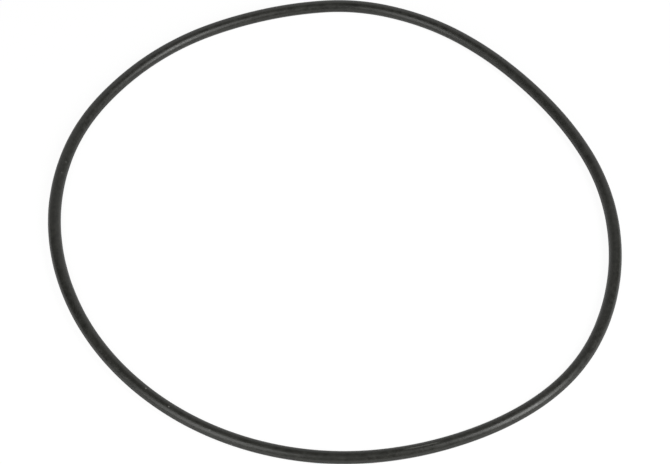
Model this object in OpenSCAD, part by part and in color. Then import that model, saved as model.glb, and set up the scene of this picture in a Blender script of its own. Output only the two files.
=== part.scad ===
// Round-section rubber sealing ring, moulded in one piece. It lies slack on a flat surface, so its
// outline is a soft irregular loop and not a true circle. +Z is up, the loop lies in the XY plane,
// and the origin is on the surface, below the middle of the loop's outline.

/* [Ring] */
// Inner diameter of the ring when it is held truly round
inner_d = 152.5; // [80:0.5:300]
// Diameter of the round rubber section
section_d = 3.55; // [2:0.05:6]

/* [Parting line] */
// How far the trimmed flash stands out of the section, at the inner and the outer edge
flash_out = 0.08; // [0.04:0.01:0.15]
// Thickness of the flash at its tip
flash_tip = 0.1; // [0.05:0.01:0.2]
// Thickness of the flash at its root, as deep inside the section
flash_root = 0.3; // [0.25:0.01:0.5]

/* [Slack shape] */
// How far the long axis reaches past a true circle, as a percentage of the mean radius
two_reach = 2.94; // [0:0.01:3.2]
// Direction of the long axis, in degrees from +X
two_dir = 137.5; // [0:0.5:180]
// How far the outline's three soft corners reach, as a percentage of the mean radius
three_reach = 1.16; // [0:0.01:1.25]
// Direction of the first of the three
three_dir = 84; // [0:0.5:120]
// How far its four soft corners reach
four_reach = 0.84; // [0:0.01:0.9]
// Direction of the first of the four
four_dir = 71; // [0:0.5:90]
// How far its five soft corners reach
five_reach = 0.28; // [0:0.01:0.32]
// Direction of the first of the five
five_dir = 11; // [0:0.5:72]
// How far its six soft corners reach
six_reach = 0.31; // [0:0.01:0.34]
// Direction of the first of the six
six_dir = 17; // [0:0.5:60]
// How far its seven soft corners reach
seven_reach = 0.14; // [0:0.01:0.16]
// Direction of the first of the seven
seven_dir = 16; // [0:0.5:51]
// How far the nine shallow bumps of a slight ripple reach
nine_reach = 0.03; // [0:0.01:0.04]
// Direction of the first of the nine
nine_dir = 9; // [0:0.5:40]
// How far the ten shallow bumps reach
ten_reach = 0.08; // [0:0.01:0.1]
// Direction of the first of the ten
ten_dir = 17; // [0:0.5:36]
// How far the eleven shallow bumps reach
eleven_reach = 0.06; // [0:0.01:0.07]
// Direction of the first of the eleven
eleven_dir = 22.5; // [0:0.5:32.5]
// How far the twelve shallow bumps reach
twelve_reach = 0.04; // [0:0.01:0.05]
// Direction of the first of the twelve
twelve_dir = 29.5; // [0:0.5:30]

/* [Hidden] */
$fn = 96;

section_r = section_d / 2;
mean_r = inner_d / 2 + section_r;

// The loop is a chain of arcs that each turn by the same angle and meet on a shared tangent.
arc_count = 36;
arc_turn = 360 / arc_count;

// Each wave is [corners, reach, direction]. A wave with n corners moves the outline out and in by
// reach * cos(n * angle), which changes its radius of curvature by (1 - n^2) times as much. With
// every reach at the top of its range, the tightest arc is still wider than the section.
waves = [
    [2, two_reach, two_dir],
    [3, three_reach, three_dir],
    [4, four_reach, four_dir],
    [5, five_reach, five_dir],
    [6, six_reach, six_dir],
    [7, seven_reach, seven_dir],
    [9, nine_reach, nine_dir],
    [10, ten_reach, ten_dir],
    [11, eleven_reach, eleven_dir],
    [12, twelve_reach, twelve_dir]
];

function sum(list) = list * [for (item = list) 1];
function toward(angle) = [cos(angle), sin(angle)];
function bend(wave, angle) = (1 - wave[0] * wave[0]) * wave[1] / 100 * cos(wave[0] * (angle - wave[2]));
function arc_radius(k) = mean_r * (1 + sum([for (wave = waves) bend(wave, k * arc_turn)]));

// Neighbouring arcs share a point and the normal there, so the next arc's centre lies along that
// normal, as far away as the two radii differ.
function centre_step(k) = (arc_radius(k) - arc_radius(k + 1)) * toward((k + 0.5) * arc_turn);
centres = [for (k = 0, at = [0, 0]; k < arc_count; at = at + centre_step(k), k = k + 1) at];

// The arcs that face +X, +Y, -X and -Y hold the outline's outermost points.
function extreme(quarter) =
    let (k = quarter * arc_count / 4)
    centres[k] * toward(90 * quarter) + arc_radius(k);
middle = [extreme(0) - extreme(2), extreme(1) - extreme(3)] / 2;

// Moves by the nearest hundredth and then by the rest, so that long decimals keep all their digits
// and the ends of neighbouring arcs meet exactly.
module place(at) {
    coarse = [for (c = at) round(c * 100) / 100];
    translate(coarse)
        translate(at - coarse)
            children();
}

// The trimmed flash on one side: a low bead that tapers from inside the section to its blunt tip.
module flash() {
    root_x = section_r - flash_root;
    tip_x = section_r + flash_out;
    polygon([
        [root_x, -flash_root / 2],
        [tip_x, -flash_tip / 2],
        [tip_x, flash_tip / 2],
        [root_x, flash_root / 2]
    ]);
}

module section() {
    circle(r = section_r);
    flash();
    mirror([1, 0])
        flash();
}

module o_ring() {
    color([0.09, 0.09, 0.085])
        translate([0, 0, section_r])
            for (k = [0 : arc_count - 1])
                place(centres[k] - middle)
                    rotate_extrude(angle = arc_turn, start = (k - 0.5) * arc_turn)
                        place([arc_radius(k), 0])
                            section();
}

o_ring();
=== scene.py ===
import math

import bmesh
import bpy
from mathutils import Matrix, Quaternion, Vector, noise


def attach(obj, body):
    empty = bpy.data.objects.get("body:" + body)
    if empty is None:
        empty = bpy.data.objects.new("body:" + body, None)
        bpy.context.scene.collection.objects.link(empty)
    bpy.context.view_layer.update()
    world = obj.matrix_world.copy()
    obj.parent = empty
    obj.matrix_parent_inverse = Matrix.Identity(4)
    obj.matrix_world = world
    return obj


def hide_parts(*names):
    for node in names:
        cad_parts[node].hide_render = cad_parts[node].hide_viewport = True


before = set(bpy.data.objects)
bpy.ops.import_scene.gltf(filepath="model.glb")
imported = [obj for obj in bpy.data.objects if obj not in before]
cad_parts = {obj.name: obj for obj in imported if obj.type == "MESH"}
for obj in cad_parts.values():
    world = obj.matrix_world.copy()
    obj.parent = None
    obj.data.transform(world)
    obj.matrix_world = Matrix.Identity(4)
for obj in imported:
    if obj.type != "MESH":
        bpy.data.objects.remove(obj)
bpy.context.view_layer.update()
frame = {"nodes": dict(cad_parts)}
mm = 0.001
scene = bpy.context.scene
print("frame loaded:", ", ".join(frame["nodes"]))


# Camera

camera = {
    "target": (0.307, -3.591, 1.775),  # the point in the middle of the picture
    "elevation": 54.0,  # above the floor
    "distance": 1014.1,
    "lens": 195.1,
    "sensor": 36.0
}


def makeCamera(user):
    tilt = math.radians(user["elevation"])
    back = Vector((0, -math.cos(tilt), math.sin(tilt)))
    data = bpy.data.cameras.new("camera")
    data.lens = user["lens"]
    data.sensor_width = user["sensor"]
    eye = bpy.data.objects.new("camera", data)
    eye.location = (Vector(user["target"]) + back * user["distance"]) * mm
    eye.rotation_euler = (math.pi / 2 - tilt, 0, 0)
    scene.collection.objects.link(eye)
    scene.camera = eye


makeCamera(camera)
print("camera placed")


# Shader maths

class Wire:  # one socket of a shader, so that maths on it reads as an expression
    def __init__(self, tree, socket=None):
        self.tree = tree
        self.socket = socket

    def node(self, kind, settings=None, values=None, output=0):
        made = self.tree.nodes.new(kind)
        for name, value in (settings or {}).items():
            if name == "stops":
                setStops(made.color_ramp, value)
            else:
                setattr(made, name, value)
        for name, value in (values or {}).items():
            if isinstance(value, Wire):
                self.tree.links.new(value.socket, made.inputs[name])
            else:
                made.inputs[name].default_value = value
        return Wire(self.tree, made.outputs[output] if made.outputs else None)

    def maths(self, operation, first, second):
        return self.node("ShaderNodeMath", {"operation": operation}, {0: first, 1: second})

    def __add__(self, other):
        return self.maths("ADD", self, other)

    def __sub__(self, other):
        return self.maths("SUBTRACT", self, other)

    def __rsub__(self, other):
        return self.maths("SUBTRACT", other, self)

    def __mul__(self, other):
        return self.maths("MULTIPLY", self, other)

    def __abs__(self):
        return self.maths("ABSOLUTE", self, 0)

    __radd__ = __add__
    __rmul__ = __mul__


def setStops(ramp, stops):
    while len(ramp.elements) < len(stops):
        ramp.elements.new(1)
    for element, (place, level) in zip(ramp.elements, stops):
        element.position = place
        element.color = (level, level, level, 1)


def newMaterial(name):
    made = bpy.data.materials.new(name)
    made.use_nodes = True
    made.node_tree.nodes.clear()
    return made, Wire(made.node_tree)


def tint(wire, share, low, high):  # low and high are plain colours or wires
    low, high = (value if isinstance(value, Wire) else (*value, 1) for value in (low, high))
    return wire.node(
        "ShaderNodeMix",
        {"data_type": "RGBA"},
        {"Factor": share, "A": low, "B": high},
        output=2
    )


# The ring's loop: a chain of arcs, each turned about its own centre

ring = {
    "innerD": 152.5,  # when it is held truly round
    "sectionD": 3.55,
    "arcs": 36,
    # corners of each wave, its reach as a percentage of the mean radius, and its direction
    "waves": [
        (2, 2.94, 137.5),
        (3, 1.16, 84),
        (4, 0.84, 71),
        (5, 0.28, 11),
        (6, 0.31, 17),
        (7, 0.14, 16),
        (9, 0.03, 9),
        (10, 0.08, 17),
        (11, 0.06, 22.5),
        (12, 0.04, 29.5)
    ],
    "sides": 72,  # faces round the section
    "stepsPerArc": 24,
    "weld": 0.002,  # vertices closer than this become one
    "flashOut": 0.07,  # how far the trimmed flash stands out
    "flashTip": 0.65,  # its thickness at the tip, as a share of that at its root
    "flashUneven": 0.5,  # how much of its height the trimming takes away in places
    "flashPitch": 4.0,  # how far apart such places are
    "leastDip": 0.005,  # how far the moulded skin lies below a true round, where it is highest
    "mostDip": 0.018,
    "dipPitch": 9.0
}

sectionR = ring["sectionD"] / 2
meanR = ring["innerD"] / 2 + sectionR
arcTurn = 2 * math.pi / ring["arcs"]


def toward(angle):
    return Vector((math.cos(angle), math.sin(angle), 0))


def arcRadius(k):
    share = 1.0
    for corners, reach, direction in ring["waves"]:
        turn = k * arcTurn - math.radians(direction)
        share += (1 - corners ** 2) * reach / 100 * math.cos(corners * turn)
    return meanR * share


def arcCentres():  # the middle of the outline is at the origin, as in the frame
    centres = [Vector((0, 0, sectionR))]
    for k in range(ring["arcs"] - 1):
        step = arcRadius(k) - arcRadius(k + 1)
        centres.append(centres[-1] + step * toward((k + 0.5) * arcTurn))
    reach = []
    for quarter in range(4):
        k = quarter * ring["arcs"] // 4
        reach.append(centres[k].dot(toward(k * arcTurn)) + arcRadius(k))
    middle = Vector((reach[0] - reach[2], reach[1] - reach[3], 0)) / 2
    return [centre - middle for centre in centres]


def sectionFrame(centre, radius, angle):  # stands the section up, at that angle round an arc
    upright = Matrix.Rotation(math.pi / 2, 4, "X") @ Matrix.Rotation(math.pi / ring["sides"], 4, "Z")
    out = Matrix.Rotation(angle, 4, "Z") @ Matrix.Translation((radius, 0, 0))
    return Matrix.Scale(mm, 4) @ Matrix.Translation(centre) @ out @ upright


def spinArc(k, centre):
    bm = bmesh.new()
    around = bm.verts.layers.float_vector.new("around")  # where round the section a vertex lies
    along = bm.verts.layers.float_vector.new("along")  # and where round the loop
    start = sectionFrame(centre, arcRadius(k), (k - 0.5) * arcTurn)
    sides = ring["sides"]
    section = bmesh.ops.create_circle(bm, segments=sides, radius=sectionR, matrix=start)["verts"]
    bmesh.ops.spin(
        bm,
        geom=section + list(bm.edges),
        cent=centre * mm,
        axis=(0, 0, 1),
        dvec=(0, 0, 0),
        angle=arcTurn,
        steps=ring["stepsPerArc"],
        use_merge=False,
        use_duplicate=False
    )
    for vert in bm.verts:
        out = vert.co / mm - centre
        level = Vector((out.x, out.y, 0))
        vert[around] = Vector((level.length - arcRadius(k), out.z, 0)).normalized()
        vert[along] = level.normalized()
    return bm


def spinLoop():
    loop = bmesh.new()
    part = bpy.data.meshes.new("one_arc")
    for k, centre in enumerate(arcCentres()):
        arc = spinArc(k, centre)
        arc.to_mesh(part)
        arc.free()
        loop.from_mesh(part)
    bpy.data.meshes.remove(part)
    bmesh.ops.remove_doubles(loop, verts=loop.verts, dist=ring["weld"] * mm)
    bmesh.ops.recalc_face_normals(loop, faces=loop.faces)
    return loop


def unevenness(place, pitch):  # 0 to 1
    return 0.5 + 0.5 * noise.noise(place / (pitch * mm))


def loosenSkin(bm):
    for vert in bm.verts:
        share = unevenness(vert.co, ring["dipPitch"])
        vert.co -= vert.normal * (ring["leastDip"] + share * (ring["mostDip"] - ring["leastDip"])) * mm


def raiseFlash(bm):
    middle = sectionR * mm
    band = middle * math.sin(2 * math.pi / ring["sides"])  # just past the first row of vertices
    faces = [f for f in bm.faces if all(abs(v.co.z - middle) < band for v in f.verts)]
    made = bmesh.ops.extrude_face_region(bm, geom=faces)["geom"]
    bmesh.ops.delete(bm, geom=faces, context="FACES_KEEP_BOUNDARY")  # they would lie inside the solid
    verts = [item for item in made if isinstance(item, bmesh.types.BMVert)]
    around = bm.verts.layers.float_vector["around"]
    along = bm.verts.layers.float_vector["along"]
    for vert in verts:
        trimmed = ring["flashUneven"] * unevenness(vert.co, ring["flashPitch"])
        out = ring["flashOut"] * (1 - trimmed)
        side = math.copysign(1, vert[around].x)
        vert.co += vert[along] * side * out * mm
        vert.co.z = middle + (vert.co.z - middle) * ring["flashTip"]


def makeRing():
    bm = spinLoop()
    print("loop spun:", len(bm.verts), "vertices")
    loosenSkin(bm)
    raiseFlash(bm)
    mesh = bpy.data.meshes.new("moulded_ring")
    bm.to_mesh(mesh)
    bm.free()
    piece = bpy.data.objects.new("moulded_ring", mesh)
    scene.collection.objects.link(piece)
    mesh.shade_smooth()
    return piece


# Rubber: near black, satin, a little uneven in tone and gloss, with specks of dust and a painted
# highlight line

rubber = {
    "dark": (0.0225, 0.0225, 0.0198),
    "pale": (0.0417, 0.0417, 0.0367),
    "mottlePitch": 1.5,
    "mottleDetail": 5.0,
    "mottleSharpness": 0.68,  # how strong its finest parts are
    "mottleRange": (0.35, 0.68),  # from all dark to all pale
    "roughLow": 0.33,
    "roughHigh": 0.45,
    "refraction": 1.55,
    "grainPitch": 0.12,
    "grainDetail": 2.0,
    "grainHeight": 0.004
}
dustAndHighlight = {
    # the colour and roughness of the dust specks, and of the painted highlight line too
    "colour": (0.29, 0.29, 0.275),
    "rough": 0.9,
    "ragged": 0.12,  # how far the edges of a speck stray
    "raggedPitch": 0.15,
    "raggedDetail": 1.0,
    # each speck's way round the loop, its way up the section, its radius, and how dense it is
    "specks": [
        (227.9, 97.5, 0.21, 0.9),
        (233.8, 79.5, 0.17, 0.85),
        (243.4, 61.5, 0.2, 0.5),
        (248.2, 1.0, 0.2, 0.8),
        (167.4, 115.5, 0.3, 0.2),
        (170.4, 106.5, 0.25, 0.18)
    ]
}
paintedHighlight = {  # a painted highlight: a thin pale line along the top of the cord, on the near side, where a reflection runs along it
    "turn": 284.3,  # the way round the loop to its middle
    "lift": 86.5,
    "length": 11.0,
    "width": 0.28,
    "ragged": 0.28,  # how far its edges stray
    "density": 0.34
}


def skinPlace(turn, lift):  # the arc's middle, the radius and the height of a place on the skin
    k = round(math.radians(turn) / arcTurn) % ring["arcs"]
    middle = arcCentres()[k]
    middle.z += sectionR * math.sin(math.radians(lift))
    return middle, arcRadius(k) + sectionR * math.cos(math.radians(lift))


def skinPoint(turn, lift):  # in metres
    middle, out = skinPlace(turn, lift)
    return (middle + out * toward(math.radians(turn))) * mm


def distance(wire, place, point):
    return wire.node(
        "ShaderNodeVectorMath",
        {"operation": "DISTANCE"},
        {0: place, 1: point},
        output="Value"
    )


def clamp(wire, value):
    return wire.node("ShaderNodeClamp", values={"Value": value})


def softSpot(wire, away, radius, stray):  # 1 in the middle, 0.5 at the radius, 0 at one and a half
    return clamp(wire, 1.5 - away * (1 / (radius * mm)) + stray * (2 / radius))


# the painted highlight line: 1 on its middle, fading over its edges and the outer half of its length
def paintedHighlightShare(wire, place, uneven):
    middle, out = skinPlace(paintedHighlight["turn"], paintedHighlight["lift"])
    across = abs(distance(wire, place, middle * mm) - out * mm)
    along = distance(wire, place, skinPoint(paintedHighlight["turn"], paintedHighlight["lift"]))
    line = softSpot(wire, across, paintedHighlight["width"] / 2, uneven * paintedHighlight["ragged"])
    fade = clamp(wire, 2 - along * (4 / (paintedHighlight["length"] * mm)))  # over the outer half of its length
    return line * fade * paintedHighlight["density"]


def dustAndHighlightShare(wire, place):  # 1 on a dense dust speck, up to its density on the painted highlight line, 0 on clean rubber
    scale = 1 / (dustAndHighlight["raggedPitch"] * mm)
    ragged = wire.node(
        "ShaderNodeTexNoise",
        values={"Vector": place, "Scale": scale, "Detail": dustAndHighlight["raggedDetail"]}
    )
    uneven = ragged - 0.5
    # the painted highlight line starts the mask, and the dust specks add to it
    share = paintedHighlightShare(wire, place, uneven)
    for turn, lift, radius, density in dustAndHighlight["specks"]:
        away = distance(wire, place, skinPoint(turn, lift))
        share = share + density * softSpot(wire, away, radius, uneven * dustAndHighlight["ragged"])
    return share


def makeRubber(user):
    made, wire = newMaterial("black rubber")
    place = wire.node("ShaderNodeTexCoord", output="Object")
    mottle = wire.node(
        "ShaderNodeTexNoise",
        values={
            "Vector": place,
            "Scale": 1 / (user["mottlePitch"] * mm),
            "Detail": user["mottleDetail"],
            "Roughness": user["mottleSharpness"]
        }
    )
    grain = wire.node(
        "ShaderNodeTexNoise",
        values={"Vector": place, "Scale": 1 / (user["grainPitch"] * mm), "Detail": user["grainDetail"]}
    )
    stops = list(zip(user["mottleRange"], (0, 1)))
    share = wire.node("ShaderNodeValToRGB", {"stops": stops}, {"Fac": mottle})
    rough = user["roughLow"] + share * (user["roughHigh"] - user["roughLow"])
    skin = wire.node(
        "ShaderNodeBump",
        values={"Height": grain, "Distance": user["grainHeight"] * mm, "Strength": 1.0}
    )
    body = tint(wire, share, user["dark"], user["pale"])
    dustAndHighlightMask = dustAndHighlightShare(wire, place)
    surface = wire.node(
        "ShaderNodeBsdfPrincipled",
        values={
            # the dust specks and the painted highlight line both take the pale dust colour and its
            # roughness
            "Base Color": tint(wire, dustAndHighlightMask, body, dustAndHighlight["colour"]),
            "Roughness": rough + dustAndHighlightMask * (dustAndHighlight["rough"] - user["roughHigh"]),
            "IOR": user["refraction"],
            "Normal": skin
        }
    )
    wire.node("ShaderNodeOutputMaterial", values={"Surface": surface})
    return made


piece = makeRing()
piece.data.materials.append(makeRubber(rubber))
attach(piece, "root")
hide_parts("o_ring")
print("ring made:", len(piece.data.polygons), "faces")


# Floor and background

floor = {
    "size": 12000.0,
    "paint": 0.84,
    "shadow": 0.15,  # how much of the floor that the camera sees is lit, and so takes the shadow
    "glow": 0.93,  # the rest of it, which is plain white
    "mirrored": 0.44  # how much of that white the reflections take
}


def makeFloor(user):
    bm = bmesh.new()
    bmesh.ops.create_grid(bm, x_segments=1, y_segments=1, size=user["size"] / 2 * mm)
    mesh = bpy.data.meshes.new("floor")
    bm.to_mesh(mesh)
    bm.free()
    plane = bpy.data.objects.new("floor", mesh)
    scene.collection.objects.link(plane)
    made, wire = newMaterial("pale floor")
    direct = wire.node("ShaderNodeLightPath", output="Is Camera Ray")
    glossy = wire.node("ShaderNodeLightPath", output="Is Glossy Ray")
    through = wire.node("ShaderNodeLightPath", output="Is Transmission Ray")
    seen = wire.maths("MAXIMUM", direct, (glossy + through) * user["mirrored"])
    lit = wire.node("ShaderNodeBsdfDiffuse", values={"Color": (*[user["paint"]] * 3, 1)})
    weak = wire.node("ShaderNodeBsdfDiffuse", values={"Color": (*[user["shadow"]] * 3, 1)})
    glow = wire.node("ShaderNodeEmission", values={"Color": (1, 1, 1, 1), "Strength": user["glow"]})
    white = wire.node("ShaderNodeAddShader", values={0: weak, 1: glow})
    both = wire.node("ShaderNodeMixShader", values={0: seen, 1: lit, 2: white})
    wire.node("ShaderNodeOutputMaterial", values={"Surface": both})
    plane.data.materials.append(made)


makeFloor(floor)


# Light: two softboxes in front, a pale card close behind, and a dark room with one pale wall

softboxes = {
    "right": {
        "azimuth": 59.1,  # from the camera's side, to its right
        "elevation": 35.5,
        "distance": 700.0,
        "width": 199.0,
        "height": 533.0,
        "lean": 8.0,  # to the right
        "radiance": 9.6,
        "colour": (0.993, 1.0, 0.98),
        "glossOnly": False
    },
    "left": {
        "azimuth": -42.9,
        "elevation": 31.7,
        "distance": 462.0,
        "width": 278.0,
        "height": 394.0,
        "lean": 9.4,
        "radiance": 2.95,
        "colour": (0.993, 1.0, 0.98),
        "glossOnly": False
    },
    "rear": {  # the card
        "azimuth": 183.0,
        "elevation": 4.0,
        "distance": 136.0,
        "width": 476.0,
        "height": 254.0,
        "lean": 0.0,
        "radiance": 0.56,
        "colour": (0.993, 1.0, 0.98),
        "glossOnly": True  # it shows in the rubber's gloss and leaves no edge of light on the floor
    }
}
room = {
    "wall": 0.45,  # its brightest part
    "wallAzimuth": 170.0,
    "wallElevation": 34.7,
    "narrowing": 30.0,  # how fast the wall darkens away from there
    "seen": 1.0  # the backdrop, to the camera
}


def aim(azimuth, elevation):  # a direction, as seen from the ring
    turn = math.radians(azimuth)
    lift = math.radians(elevation)
    return Vector((math.sin(turn) * math.cos(lift), -math.cos(turn) * math.cos(lift), math.sin(lift)))


def makeSoftbox(name, user):
    way = aim(user["azimuth"], user["elevation"])
    data = bpy.data.lights.new(name, "AREA")
    data.shape = "RECTANGLE"
    data.size = user["width"] * mm
    data.size_y = user["height"] * mm
    data.color = user["colour"]
    data.energy = user["radiance"] * math.pi * data.size * data.size_y
    box = bpy.data.objects.new(name, data)
    box.location = way * user["distance"] * mm
    box.rotation_mode = "QUATERNION"
    lean = Quaternion((0, 0, -1), math.radians(user["lean"]))
    box.rotation_quaternion = way.to_track_quat("Z", "Y") @ lean
    box.visible_camera = False
    box.visible_diffuse = not user["glossOnly"]
    scene.collection.objects.link(box)


def makeRoom(user):
    world = bpy.data.worlds.new("room")
    world.use_nodes = True
    world.node_tree.nodes.clear()
    scene.world = world
    wire = Wire(world.node_tree)
    way = wire.node("ShaderNodeTexCoord", output="Generated")
    wall = aim(user["wallAzimuth"], user["wallElevation"])
    facing = wire.node(
        "ShaderNodeVectorMath",
        {"operation": "DOT_PRODUCT"},
        {0: way, 1: wall},
        output="Value"
    )
    glow = wire.maths("POWER", 0.5 + 0.5 * facing, user["narrowing"])
    seen = wire.node("ShaderNodeLightPath", output="Is Camera Ray")
    strength = seen * user["seen"] + (1 - seen) * user["wall"] * glow
    light = wire.node("ShaderNodeBackground", values={"Color": (1, 1, 1, 1), "Strength": strength})
    wire.node("ShaderNodeOutputWorld", values={"Surface": light})


for boxName, boxValues in softboxes.items():
    makeSoftbox("softbox_" + boxName, boxValues)
makeRoom(room)
scene.view_settings.view_transform = "Standard"
print("floor and lights placed")
